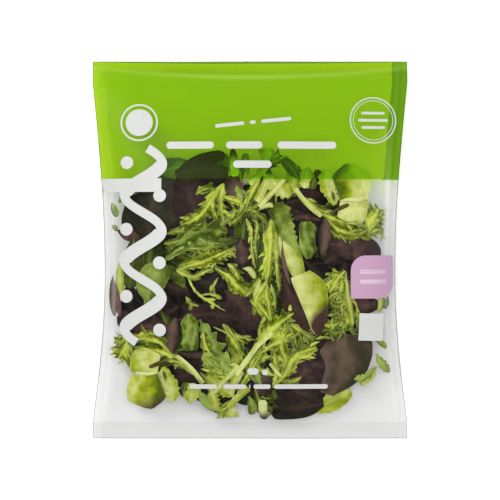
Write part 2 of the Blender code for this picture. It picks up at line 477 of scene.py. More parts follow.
# %% One blade
def blade(sheets, path, width, depth, outline, fine=0.8, sweep=0.0, arch=0.0, cup=0.0, fold=0.0, roll=0.0,
          twist=0.0, dive=0.0, ruffle=0.0, waves=3.0, phase=0.0, tone=0.5, edge=0.0, lean=0.0, fade=0.0, sink=0.25,
          rib=0.0, midrib=0.4, rim=0.0, blush=0.0, stripes=0.0):
    """A blade along a path. t runs along it from 0 to 1 and s across it from -1 to 1."""
    length = smooth_path(path, 8)[3]
    rows = int(np.clip(length * fine, 7, 110))
    columns = 2 * int(np.clip(width * fine * 0.4, 2, 9))
    spine_x, spine_y, heading, length = smooth_path(path, rows)
    t, s = np.linspace(0, 1, rows + 1)[:, None], np.sin(np.pi / 2 * np.linspace(-1, 1, columns + 1))[None, :]
    along_x, along_y = np.cos(heading)[:, None], np.sin(heading)[:, None]
    reach = width / 2 * outline(t, s)
    forward = sweep * np.abs(s) * reach
    px = spine_x[:, None] - along_y * s * reach + along_x * forward
    py = spine_y[:, None] + along_x * s * reach + along_y * forward
    drop = (
        abs(arch) * ((2 * t - 1) ** 2 if arch > 0 else 1 - (2 * t - 1) ** 2)
        + abs(cup) * (s**2 if cup > 0 else 1 - s**2)
        + abs(fold) * (np.abs(s) if fold > 0 else 1 - np.abs(s))
        + roll * (1 + s * np.cos(2 * np.pi * twist * t + phase)) / 2
        + abs(dive) * (t if dive > 0 else 1 - t)
        + ruffle * np.abs(s) ** 1.5 * (0.5 + 0.5 * np.sin(2 * np.pi * waves * t + phase + 1.9 * np.sign(s)))
    )
    low = drop / max(float(np.max(drop)), 0.5)
    # Painted light and shade in the tone: margins lighter or darker than the middle, one side lit and the other shaded,
    # the parts that lie deeper darker as painted occlusion, a change along the leaf, and light and dark lengthwise
    # stripes that stand for folds.
    shade = edge * (s**2 - 0.35) + lean * s + fade * (t - 0.5) - sink * (low - 0.4)
    tone_here = np.clip(tone + shade + stripes * np.sin(6 * s + phase + 2.5 * np.sin(4 * t + phase)), -0.3, 1)
    rib_here = np.maximum(rib, midrib * np.exp(-((s * reach / 0.55) ** 2)) * (1 - 0.8 * t))
    # Along the margin the leaf turns pale: partly its own pale edge, partly a painted highlight where the edge catches
    # the light.
    rib_here = np.maximum(rib_here, rim * np.exp(-(((1 - np.abs(s)) * reach / 0.3) ** 2)))
    blush_here = blush(t, s) if callable(blush) else blush
    rib_here = rib_here * (1 - 0.7 * blush_here)
    lay(sheets, px * MM, py * MM, drop * MM, depth * MM, s * reach / 10, (t * length + forward) / 10,
        tone=tone_here, rib=rib_here, blush=blush_here)


# %% Outlines of blades
def ovate(belly=0.5, tip=0.55, stem=0.10):
    """Broadest at belly, with a rounded tip and a narrow stem."""
    def outline(t, s):
        low_part = np.sin(np.pi / 2 * np.clip(t / belly, 0, 1)) ** 0.9
        high_part = (1 - np.clip((t - belly) / (1 - belly), 0, 1) ** 2) ** tip
        return np.maximum(low_part * high_part, stem * (t < 0.9)) + 0.004
    return outline


def toothed(base, count, cut, shift=0.5):
    """The outline base, cut into forward-pointing teeth of depth cut."""
    def outline(t, s):
        place = (count * (t + 0.025 * np.sin(19 * t)) + shift * np.sign(s)) % 1
        tooth = np.where(place < 0.7, place / 0.7, (1 - place) / 0.3)
        return base(t, s) * (1 - cut * (1 - tooth))
    return outline


def strap(t, s):
    """A long strip of even width with a soft point."""
    return np.minimum(1, 6 * t + 0.5) * (1 - t**6) ** 0.7 + 0.01


def torn(t, s):
    """A strip of even width with square ends."""
    return np.minimum(1, 12 * t + 0.7) * (1 - 0.35 * t**12) + 0.01


def finger(t, s):
    """A narrow finger with a long point."""
    return (1 - t) * (0.85 + 1.2 * t) + 0.01


def lance(t, s):
    """A long strip that runs out into a point."""
    return np.minimum(1, 4 * t + 0.45) * (1 - t**2.2) ** 0.8 + 0.01


def ragged(rng, base, count, cut):
    """The outline base with uneven forward-pointing teeth, different on its two sides."""
    sides = []
    for side in range(2):
        valleys = np.concatenate([[0], np.cumsum(rng.uniform(0.6, 1.4, count))])
        places = np.concatenate([valleys, valleys[:-1] + 0.68 * np.diff(valleys)]) / valleys[-1]
        heights = 1 - cut * np.concatenate([rng.uniform(0.5, 1.0, count + 1), rng.uniform(0, 0.3, count)])
        order = np.argsort(places)
        sides.append((places[order], heights[order]))

    def outline(t, s):
        return base(t, s) * np.where(s > 0, np.interp(t, *sides[0]), np.interp(t, *sides[1]))
    return outline


def drawn(places, one_side, other_side):
    """An outline drawn freely: how far the blade reaches on its two sides at places along it."""
    def outline(t, s):
        shares = [sum(np.interp(t + d, places, side) for d in (-0.03, 0, 0.03)) / 3 for side in (one_side, other_side)]
        return np.where(s > 0, shares[0], shares[1]) + 0.01
    return outline


# %% [markdown]
# ## Kinds of leaf
# Three kinds make most of the salad. Red leaves are smooth ovals. Frisee is a bundle of narrow, deeply cut strands
# with small curly fingers. Lettuce is broad, smooth and pale. Toothed green leaves, stems and loose leaflets lie
# between them. Each kind has its habit, which a single leaf may overrule.

# %% Frisee strand
def frisee(sheets, rng, path, width, depth, tuft=0.35, forks=0.4, body=2.0, reach=1.0, cut=0.55, detail=1.0,
           **shape):
    """A folded ribbon with a ragged edge over a wider one that lies deeper and is painted darker as shade, with curled
    fingers that crowd towards its tip.
    """
    habit = dict(fold=rng.uniform(0.3, 0.6) * min(width, 6), roll=rng.uniform(0.3, 1.6), twist=rng.uniform(0.3, 1.0))
    habit.update(ruffle=0.12 * width, waves=rng.uniform(2, 5), phase=rng.uniform(0, 6), tone=0.6)
    habit.update(lean=rng.choice([-1, 1]) * 0.15, midrib=0.3, rim=0.3, sink=0.3, stripes=0.2)
    look = {**habit, **shape}
    tone, dive, blush = look["tone"], look.get("dive", 0.0), look.get("blush", 0.0)
    x, y, heading, length = smooth_path(path, 40)
    swell = rng.uniform(0, 6)
    base = lance if width < 8 else ovate(0.45, 0.8, 0.4)
    cuts = ragged(rng, lambda t, s: base(t, s) * (1.15 + 0.25 * np.sin(9 * t + swell)), max(3, int(length / 4.2)), cut)
    blade(sheets, path, width, depth, cuts, fine=1.9 * detail, sweep=0.8, **look)
    if body:
        # The wider ribbon under it lies deeper and is painted darker, as shade.
        under = {**look, "tone": max(0.0, tone - 0.3), "ruffle": 1.5, "waves": length / 7, "fold": 0.8, "midrib": 0.1}
        cuts = ragged(rng, ovate(0.5, 0.7, 0.3), max(3, int(length / 4)), 0.85)
        blade(sheets, path, width * body, depth + 1.8, cuts, fine=1.2 * detail, sweep=0.9, **under)
    for k in range(int(tuft * length / 2.5)):
        place = int(2 + 37 * rng.uniform() ** 0.6)
        side = 1 if k % 2 else -1
        turned = math.degrees(heading[place]) + side * rng.uniform(15, 50)
        out = reach * (0.5 * width + rng.uniform(2.4, 5.2)) * (1.2 - 0.4 * place / 40)
        curl = side * rng.uniform(-60, 40)
        low = depth + 0.2 + rng.uniform(0, 2.0) + (dive * place / 40 if dive > 0 else -dive * (1 - place / 40))
        hue = float(np.clip(tone + rng.normal(-0.05, 0.15), 0, 1))
        small = dict(fold=rng.uniform(0.2, 1.2), roll=rng.uniform(0, 1.2), phase=rng.uniform(0, 6), tone=hue)
        small.update(lean=rng.uniform(-0.3, 0.3), dive=rng.uniform(-0.6, 2.0), rim=0.2, midrib=0.3)
        small.update(blush=0.0 if callable(blush) else blush)
        base_x = x[place] - math.sin(heading[place]) * side * width * 0.2
        base_y = y[place] + math.cos(heading[place]) * side * width * 0.2
        bent = ray(base_x, base_y, turned, out, curl)
        cuts = ragged(rng, finger, 3, 0.25)
        blade(sheets, bent, rng.uniform(1.9, 3.3) * reach**0.6, low, cuts, fine=1.7 * detail, sweep=0.6, **small)
        if rng.uniform() < forks:
            (fork_x, fork_y), lean = bent[1], turned + curl / 2 + rng.choice([-1, 1]) * rng.uniform(28, 60)
            blade(sheets, ray(fork_x, fork_y, lean, out * rng.uniform(0.4, 0.7), rng.uniform(-50, 50)),
                  rng.uniform(1.5, 2.6) * reach**0.6, low + rng.uniform(0, 0.8), finger, fine=1.2 * detail, **small)


# %% Smooth, toothed and narrow leaves
def red_leaf(sheets, rng, path, width, depth, outline=None, **shape):
    """A smooth oval leaf."""
    habit = dict(arch=rng.uniform(0.3, 1.4), cup=rng.uniform(0.4, 1.8), fold=rng.uniform(-0.7, 0.7), ruffle=0.7)
    habit.update(waves=rng.uniform(1.5, 3), phase=rng.uniform(0, 6), tone=0.4, lean=rng.uniform(-0.12, 0.12))
    habit.update(midrib=0.25)
    blade(sheets, path, width, depth, outline or ovate(rng.uniform(0.46, 0.6), 0.5), **{**habit, **shape})


def lobed_red_leaf(sheets, rng, path, width, depth, **shape):
    """A nearly black oak-like leaf with shallow lobes."""
    habit = dict(arch=0.8, cup=0.8, ruffle=0.8, phase=rng.uniform(0, 6), tone=0.1, fine=2.4, midrib=0.2)
    blade(sheets, path, width, depth, toothed(ovate(0.5, 0.4, 0.2), 8, 0.25), **{**habit, **shape})


def lettuce(sheets, rng, path, width, depth, tip=0.42, cut=0.1, outline=None, **shape):
    """A broad, smooth, pale leaf."""
    habit = dict(arch=rng.uniform(0.4, 1.2), cup=rng.uniform(0.6, 2.0), ruffle=0.8, waves=rng.uniform(2, 4))
    habit.update(phase=rng.uniform(0, 6), tone=0.6, lean=rng.choice([-1, 1]) * 0.15, rim=0.35, midrib=0.5, fine=1.2)
    blade(sheets, path, width, depth, outline or ragged(rng, ovate(0.5, tip, 0.22), 7, cut), **{**habit, **shape})


def green_leaf(sheets, rng, path, width, depth, teeth=10, cut=0.2, outline=None, **shape):
    """A narrow green leaf with a toothed edge."""
    habit = dict(arch=rng.uniform(0.3, 1.2), cup=rng.uniform(0.4, 1.4), ruffle=0.8, phase=rng.uniform(0, 6), tone=0.5)
    habit.update(fine=2.2, lean=rng.choice([-1, 1]) * 0.15, rim=0.35)
    blade(sheets, path, width, depth, toothed(outline or ovate(0.5, 0.34, 0.3), teeth, cut), **{**habit, **shape})


def mizuna(sheets, rng, path, width, depth, **shape):
    """A broad green leaf cut into long pointed lobes."""
    habit = dict(ruffle=1.6, tone=0.4, fold=1.0, tuft=0.8, forks=0.8, body=2.2, reach=1.9)
    frisee(sheets, rng, path, width * 0.4, depth, **{**habit, **shape})


def stem(sheets, rng, path, width, depth, **shape):
    """A smooth stem."""
    habit = dict(cup=0.35, tone=0.5, fine=1.0, edge=-0.2, midrib=0.0, sink=0.3)
    blade(sheets, path, width, depth, strap, **{**habit, **shape})


def ribbon(sheets, rng, path, width, depth, outline=torn, **shape):
    """A pale leaf rib that is torn off square."""
    habit = dict(cup=0.3, tone=0.8, fine=1.8, midrib=0.0, rim=0.3, lean=rng.choice([-1, 1]) * 0.2, stripes=0.12)
    blade(sheets, path, width, depth, outline, **{**habit, **shape})


# %% [markdown]
# ## Leaf finishes
# One recipe colours all the leaves. The number called tone picks a colour between the kind's dark and light ends;
# besides each leaf's own tone it holds light and shade painted in where the leaf is laid. rib turns it pale along
# the rib and along the margin, where the pale margin is partly a painted highlight, and blush turns it towards
# another colour. The sheet's map, in centimetres along and across the leaf, draws the side veins. A leaf lets some
# light through, so a little Translucent shader is mixed in.

# %% Leaf material
def leaf_material(name, dark, middle, light, rib_colour, blush_colour, vein=0.1, rough=0.5, glow=0.22,
                  vein_pitch=0.55, sheen=0.025):
    material, tree = new_material(name)
    place = add(tree, "TexCoord")
    sheet = add(tree, "UVMap", uv_map="sheet")
    parts = add(tree, "SeparateXYZ", {"Vector": sheet.outputs["UV"]})
    off_rib = add(tree, "Math", {0: parts.outputs["X"]}, operation="ABSOLUTE")
    slant = add(tree, "Math", {0: off_rib.outputs["Value"], 2: parts.outputs["Y"]}, operation="MULTIPLY_ADD")
    slant.inputs[1].default_value = -0.85
    wander = add(tree, "TexNoise", {"Vector": place.outputs["Object"]}, Scale=160.0, Detail=3.0)
    waver = add(tree, "Math", {0: wander.outputs["Fac"], 2: slant.outputs["Value"]}, operation="MULTIPLY_ADD")
    waver.inputs[1].default_value = 0.3
    beat = add(tree, "Math", {0: waver.outputs["Value"]}, operation="MULTIPLY")
    beat.inputs[1].default_value = 2 * math.pi / vein_pitch
    wave = add(tree, "Math", {0: beat.outputs["Value"]}, operation="SINE")
    side_vein = add(tree, "MapRange", {"Value": wave.outputs["Value"]}, From_Min=0.84, From_Max=1.0)
    tone = add(tree, "Attribute", attribute_name="tone")
    patch = add(tree, "TexNoise", {"Vector": place.outputs["Object"]}, Scale=120.0, Detail=5.0, Roughness=0.65)
    shift = add(tree, "MapRange", {"Value": patch.outputs["Fac"]}, From_Min=0.3, From_Max=0.7, To_Min=-0.28, To_Max=0.28)
    mixed = add(tree, "Math", {0: tone.outputs["Fac"], 1: shift.outputs["Result"]}, operation="ADD", use_clamp=True)
    base = add(tree, "ValToRGB", {"Fac": mixed.outputs["Value"]})
    base.color_ramp.elements[0].color, base.color_ramp.elements[1].color = dark, light
    base.color_ramp.elements.new(0.5).color = middle
    blush = add(tree, "Attribute", attribute_name="blush")
    flushed = add(tree, "Mix", {0: blush.outputs["Fac"], 6: base.outputs["Color"]}, data_type="RGBA")
    flushed.inputs[7].default_value = blush_colour
    # The rib number also carries the pale margin, which is partly a painted highlight.
    rib = add(tree, "Attribute", attribute_name="rib")
    bare = add(tree, "MapRange", {"Value": blush.outputs["Fac"]}, To_Min=vein, To_Max=0.2 * vein)
    faint = add(tree, "Math", {0: side_vein.outputs["Result"], 1: bare.outputs["Result"]}, operation="MULTIPLY")
    either = add(tree, "Math", {0: rib.outputs["Fac"], 1: faint.outputs["Value"]}, operation="MAXIMUM")
    colour = add(tree, "Mix", {0: either.outputs["Value"], 6: flushed.outputs[2]}, data_type="RGBA")
    colour.inputs[7].default_value = rib_colour
    cells = add(tree, "TexNoise", {"Vector": place.outputs["Object"]}, Scale=420.0, Detail=2.0)
    height = add(tree, "Math", {0: either.outputs["Value"], 2: cells.outputs["Fac"]}, operation="MULTIPLY_ADD")
    height.inputs[1].default_value = 0.8
    bump = add(tree, "Bump", {"Height": height.outputs["Value"]}, Strength=0.5, Distance=0.25 * MM)
    skin = add(tree, "BsdfPrincipled", {"Base Color": colour.outputs[2], "Normal": bump.outputs["Normal"]},
               Roughness=rough, Specular_IOR_Level=sheen)
    lit_through = add(tree, "BsdfTranslucent", {"Color": colour.outputs[2], "Normal": bump.outputs["Normal"]})
    leaf = add(tree, "MixShader", {1: skin.outputs["BSDF"], 2: lit_through.outputs["BSDF"]})
    leaf.inputs[0].default_value = glow
    finish_material(tree, leaf.outputs["Shader"])
    return material


PURPLE = srgb(80, 56, 47)
red_skin = leaf_material("red_leaf_skin", srgb(16, 13, 10), srgb(57, 40, 39), srgb(112, 84, 78), srgb(116, 92, 66),
                         srgb(84, 92, 58), vein=0.12, rough=0.45, glow=0.05, vein_pitch=0.8, sheen=0.04)
frisee_skin = leaf_material("frisee_skin", srgb(30, 42, 0), srgb(110, 130, 0), srgb(216, 228, 86),
                            srgb(226, 234, 156), PURPLE, vein=0.08, glow=0.2)
lettuce_skin = leaf_material("lettuce_skin", srgb(82, 104, 0), srgb(168, 184, 26), srgb(232, 236, 150),
                             srgb(232, 238, 180), PURPLE, vein=0.06, rough=0.45, glow=0.2, vein_pitch=0.7)
green_skin = leaf_material("green_leaf_skin", srgb(26, 38, 0), srgb(78, 98, 18), srgb(160, 182, 84),
                           srgb(192, 206, 120), PURPLE, vein=0.06, glow=0.15)
stem_skin = leaf_material("stem_skin", srgb(54, 36, 26), srgb(140, 128, 60), srgb(222, 230, 160),
                          srgb(226, 230, 170), srgb(50, 46, 30), vein=0.0, rough=0.4, glow=0.12)

# %% [markdown]
# ## The heap
# The leaves that press against the film are placed one by one: kind, depth below the film, width, and the points
# that the spine passes, all in millimetres. One half of the heap is near enough the other half turned round, so
# most of them are laid twice, the second time turned half way about the middle of the heap.

# %% Where a leaf changes colour
def at_tip(start, end=1.0):
    """The colour changes between start and end, towards the tip."""
    return lambda t, s: share_between(start, end, t) + 0 * s


def at_base(end, share=0.7):
    """The colour changes towards the base, before end."""
    return lambda t, s: share_between(end, 0.0, t) * share + 0 * s


def at_corner(start):
    """The colour changes in one corner of the tip."""
    return lambda t, s: share_between(start, start + 0.13, t + 0.12 * s) * share_between(-1.0, -0.7, s)


# %% Outlines of the leaves with shapes of their own
cupped = drawn([0, 0.1, 0.2, 0.4, 0.6, 0.8, 1], [0.05, 0.4, 0.55, 1, 0.93, 0.78, 0.67],
               [0.05, 0.62, 0.88, 0.88, 0.85, 0.77, 0.64])
turned_under = drawn([0, 0.3, 0.6, 0.85, 1], [0.95, 1, 1, 0.85, 0.4], [0.9, 0.95, 0.95, 0.95, 0.5])
square_cut = drawn([0, 0.05, 0.15, 0.2, 0.3, 0.65, 0.76, 0.85, 1], [0.5, 0.85, 1.2, 1.35, 1.05, 1, 1.25, 0.9, 0.3],
                   [0.5, 0.8, 0.85, 0.9, 0.9, 1, 1.05, 0.8, 0.3])
folded_over = drawn([0, 0.1, 0.3, 0.55, 0.8, 1], [0.5, 0.9, 0.94, 0.82, 0.46, 0.02], [0.1, 0.5, 0.82, 0.85, 0.72, 0.5])
half_seen = drawn([0, 0.08, 0.25, 0.45, 0.7, 0.9, 1], [0.55, 0.75, 1, 0.93, 0.65, 0.33, 0.05],
                  [0.35, 0.4, 0.39, 0.37, 0.3, 0.24, 0.05])
narrowing = drawn([0, 0.15, 0.4, 0.7, 0.9, 1], [0.4, 1, 1, 0.65, 0.35, 0.1], [0.3, 0.75, 0.85, 0.55, 0.3, 0.1])
one_sided = drawn([0, 0.15, 0.4, 0.7, 0.9, 1], [0.4, 1, 1, 0.9, 0.8, 0.3], [0.3, 0.7, 0.8, 0.5, 0.3, 0.1])
spreading = drawn([0, 0.5, 0.9, 1], [0.3, 0.6, 1, 0.9], [0.3, 0.6, 1, 0.9])
blunt = ovate(0.6, 0.35)
sloping = drawn([0, 0.25, 0.5, 0.8, 0.93, 1], [0.15, 0.55, 0.78, 0.97, 0.85, 0.3], [0.5, 0.8, 0.95, 1, 0.85, 0.3])

# %% Leaves that lie twice
MIDDLE = (-0.8, -22.7)  # the heap's middle
twice = [
    (lobed_red_leaf, 7.5, 24, [(22, 29), (36, 33), (50, 36)], dict(tone=0.08)),
    (red_leaf, 7.5, 17, [(43, -10), (54, -4), (64, 3)], dict(tone=0.15)),
    (red_leaf, 6.5, 26, [(-47, 47.5), (-30, 50.5), (-13.6, 50)],
     dict(tone=-0.1, outline=sloping, other=dict(tone=0.12, blush=0.04, stripes=0.1, move=(1.5, -5.0)))),
    (lettuce, 9.5, 15, [(-34, 54), (-51, 51), (-67, 42.5)], dict(tone=0.05, other=dict(tone=0.56, move=(-1, -1.5)))),
    (red_leaf, 6.0, 20, [(70, -6), (60, 8), (46, 14)], dict(tone=0.1)),
    (red_leaf, 3.6, 13, [(-11, 30), (-10.5, 39), (-10, 47)], dict(tone=0.6, lean=-0.2, blush=at_base(0.6))),
    (green_leaf, 3.4, 5, [(-5, 28), (-6.5, 35), (-9, 41)], dict(tone=0.75, cut=0.3)),
    (red_leaf, 4.6, 18, [(47, 4), (66, 2), (83, -3)], dict(tone=0.5)),
    (red_leaf, 4.8, 26, [(-28, 6), (-35, 26), (-40, 48)], dict(tone=0.32, other=dict(tone=0.46))),
    (lettuce, 4.5, 14, [(36.5, 52), (35.5, 46), (34, 38.5)], dict(tone=0.6, fade=0.4, cut=0.45)),
    (green_leaf, 4.2, 5, [(40.5, 46), (39.5, 42), (38.5, 38)], dict(tone=0.35, cut=0.05)),
    (red_leaf, 4.6, 5.4, [(27, 20.5), (36, 20.5), (45, 18.5)], dict(tone=0.4, outline=lance)),
    (red_leaf, 3.4, 8.6, [(47.6, 19.5), (47, 9), (44.6, -3.5)],
     dict(tone=0.75, lean=0.4, fold=1.4, midrib=0.4, blush=0.12, outline=ovate(0.3, 0.55, 0.5))),
    (green_leaf, 3.2, 10.4, [(35, 17.8), (35.5, 6), (36.5, -5.5)],
     dict(tone=0.6, cut=0.08, midrib=0.06, stripes=0.12, outline=square_cut)),
    (green_leaf, 4.0, 8, [(31, 43), (27, 50), (20.5, 57.5)], dict(tone=0.3, other=dict(tone=1.0, cut=0.4), cut=0.05)),
    (green_leaf, 3.9, 6, [(-83, 30), (-78, 36), (-70, 38)],
     dict(tone=0.45, cut=0.05, other=dict(tone=0.9, cut=0.4, teeth=5, move=(-2.5, 1.5)))),
    (stem, 3.6, 5.5, [(-9.5, 46), (-10, 55), (-11, 64)], dict(tone=0.9, fade=-0.6, blush=at_tip(0.4, 0.8), other=dict(move=(0, -3.5)))),
    (lettuce, 3.8, 14, [(47.5, 50.5), (48, 40), (52.5, 28)], dict(tone=0.64, outline=toothed(one_sided, 6, 0.35))),
    (green_leaf, 3.0, 2.6, [(51.3, 38), (52, 34), (53, 30.5)], dict(tone=0.2, cut=0.05)),
    (red_leaf, 3.4, 39, [(-63.6, 7), (-62, 26), (-56, 47)],
     dict(tone=0.1, lean=-0.2, fold=2.6, midrib=0.3, blush=0.16, outline=folded_over,
          other=dict(tone=0.74, lean=-0.3, midrib=0.7, stripes=0.22, fold=3.4, ruffle=1.4, blush=0.3,
                     move=(-2.0, 0)))),
    (ribbon, 3.2, 4.2, [(-0.6, 41.5), (6.4, 48), (12, 55)], dict(tone=0.55)),
    (lettuce, 3.0, 15, [(8, 48), (15, 42), (26, 34)], dict(tone=0.58, cut=0.5, stripes=0.1)),
    (lettuce, 3.4, 9, [(9, 50), (10, 57), (9.6, 63.8)], dict(tone=0.55, outline=spreading)),
    (green_leaf, 3.1, 6, [(-1, 47), (-3, 54), (-2.4, 60.8)], dict(tone=0.6, cut=0.1)),
    (frisee, 3.6, 8, [(7, 48), (12, 54), (19, 60)], dict(tone=0.55)),
    (frisee, 3.6, 9, [(-5, 42), (-8, 50), (-16, 57)], dict(tone=0.35)),
    (green_leaf, 2.3, 17.5, [(16.5, 29.5), (20.5, 14), (30, -2)],
     dict(tone=0.68, other=dict(tone=0.66, cut=0.7, fade=0.1, teeth=5), teeth=8, cut=0.25, fade=0.6, midrib=0.0, stripes=0.08,
          outline=narrowing)),
    (ribbon, 3.0, 3.0, [(28, 38.6), (35.5, 29), (44.5, 21)], dict(tone=0.75, midrib=-0.2, rim=0.6)),
    (frisee, 3.0, 4, [(34, 33), (42, 26), (50, 22.5)], dict(tone=0.7, tuft=0.9)),
    (lettuce, 3.0, 18.4, [(65.3, 32.5), (64.5, 25), (62.5, 16.5)], dict(tone=0.86, midrib=0.0, other=dict(tone=0.76), outline=turned_under)),
    (ribbon, 1.6, 2.4, [(56, 30.8), (62, 31.6), (71, 31.2)],
     dict(tone=0.9, rib=0.6, rim=0.0, outline=ovate(0.6, 0.5, 0.1), other=dict(move=(0, -1)))),
    (stem, 2.8, 2.4, [(62, 28.5), (56, 26), (50, 23)], dict(tone=0.1)),
    (lettuce, 2.0, 26, [(60.6, 54.3), (64.2, 43), (65.3, 31.3)],
     dict(tone=0.52, midrib=0.1, fade=0.35, lean=0.75, stripes=0.05, outline=cupped,
          other=dict(tone=0.36, lean=0.5, stripes=0.1, blush=at_base(0.42, 1.0), move=(0, -1.5)))),
    (frisee, 2.6, 9, [(44, 23), (51, 20), (60, 17.5), (68, 18)], dict(tone=0.66, tuft=0.4)),
    (frisee, 2.4, 9, [(48, 20), (56, 12.5), (66, 9.5), (76, 13)], dict(tone=0.68, tuft=0.4, stripes=0.28)),
    (frisee, 3.0, 8, [(50, 12), (57, 8), (66, 6.5)], dict(tone=0.4, tuft=0.4)),
    (frisee, 2.2, 10, [(74.5, 10.5), (77, 18), (81.5, 26)],
     dict(tone=0.85, tuft=0.2, stripes=0.25, other=dict(move=(0, 3), reach=0.7, tuft=1.0))),
    (frisee, 2.6, 6, [(74.5, 10.5), (79, 16), (83.5, 20)], dict(tone=0.5)),
    (frisee, 2.6, 3.4, [(72.5, 12), (72.8, 18), (70, 23)], dict(tone=0.5)),
    (frisee, 3.0, 5, [(75, 10.5), (80, 12.5), (84.5, 12)], dict(tone=0.75, tuft=0.5)),
    (frisee, 2.6, 9, [(20, 43), (13, 36), (7, 27)], dict(tone=0.32)),
    (ribbon, 1.8, 3.4, [(5.5, 27), (12, 34), (21.5, 44.5)], dict(tone=0.84, fold=0.8)),
    (ribbon, 2.0, 5.0, [(4.2, 30.2), (7.5, 36.5), (11.5, 45.5)], dict(tone=0.72, fold=0.8)),
    (lettuce, 2.1, 3.6, [(5.5, 25), (11, 28), (16.8, 27)], dict(tone=0.75, fold=-1.0)),
    (frisee, 2.4, 5.6, [(6.5, 45), (0, 33), (-4, 23.5), (-13, 15)], dict(tone=0.72, tuft=0.2)),
    (frisee, 3.2, 5, [(20, 46), (23, 40), (26, 33)], dict(tone=0.5)),
    (frisee, 1.6, 8, [(-16, 41.5), (-22.5, 34), (-28.2, 25), (-34, 19.4), (-43.5, 15.5)], dict(tone=0.8, tuft=0.25)),
    (frisee, 1.8, 4, [(-16.4, 41.5), (-17.8, 32), (-17.6, 24), (-16.4, 15.6)], dict(tone=0.9, tuft=0.25)),
    (frisee, 2.4, 5.6, [(-34, 34.5), (-29.5, 37.6), (-24, 38.2), (-20, 36)], dict(tone=0.55, tuft=0.2)),
    (frisee, 2.0, 5.6, [(-17, 33.5), (-9, 30.5), (-2.5, 28)], dict(tone=0.76, tuft=0.2)),
    (frisee, 2.2, 4.4, [(-15, 21), (-11.5, 22.4), (-8.6, 25.4)], dict(tone=0.8, tuft=0.3)),
    (frisee, 2.4, 5, [(-24, 31), (-22.6, 25), (-20, 19)], dict(tone=0.68, tuft=0.5)),
    (frisee, 3.6, 3.2, [(-30, 27), (-22, 28), (-13, 22)], dict(tone=0.4)),
    (frisee, 2.4, 3.6, [(-1.5, 34), (-4, 28), (-8.6, 19.5)], dict(tone=0.74, tuft=0.4)),
    (frisee, 3.6, 4.0, [(-5, 38), (0, 30), (2, 20), (8, 14)], dict(tone=0.4)),
    (frisee, 2.4, 4, [(-4, 24), (1, 25), (6, 20)], dict(tone=0.6)),
    (frisee, 2.8, 4, [(3, 22), (8, 20), (12, 13)], dict(tone=0.45)),
]

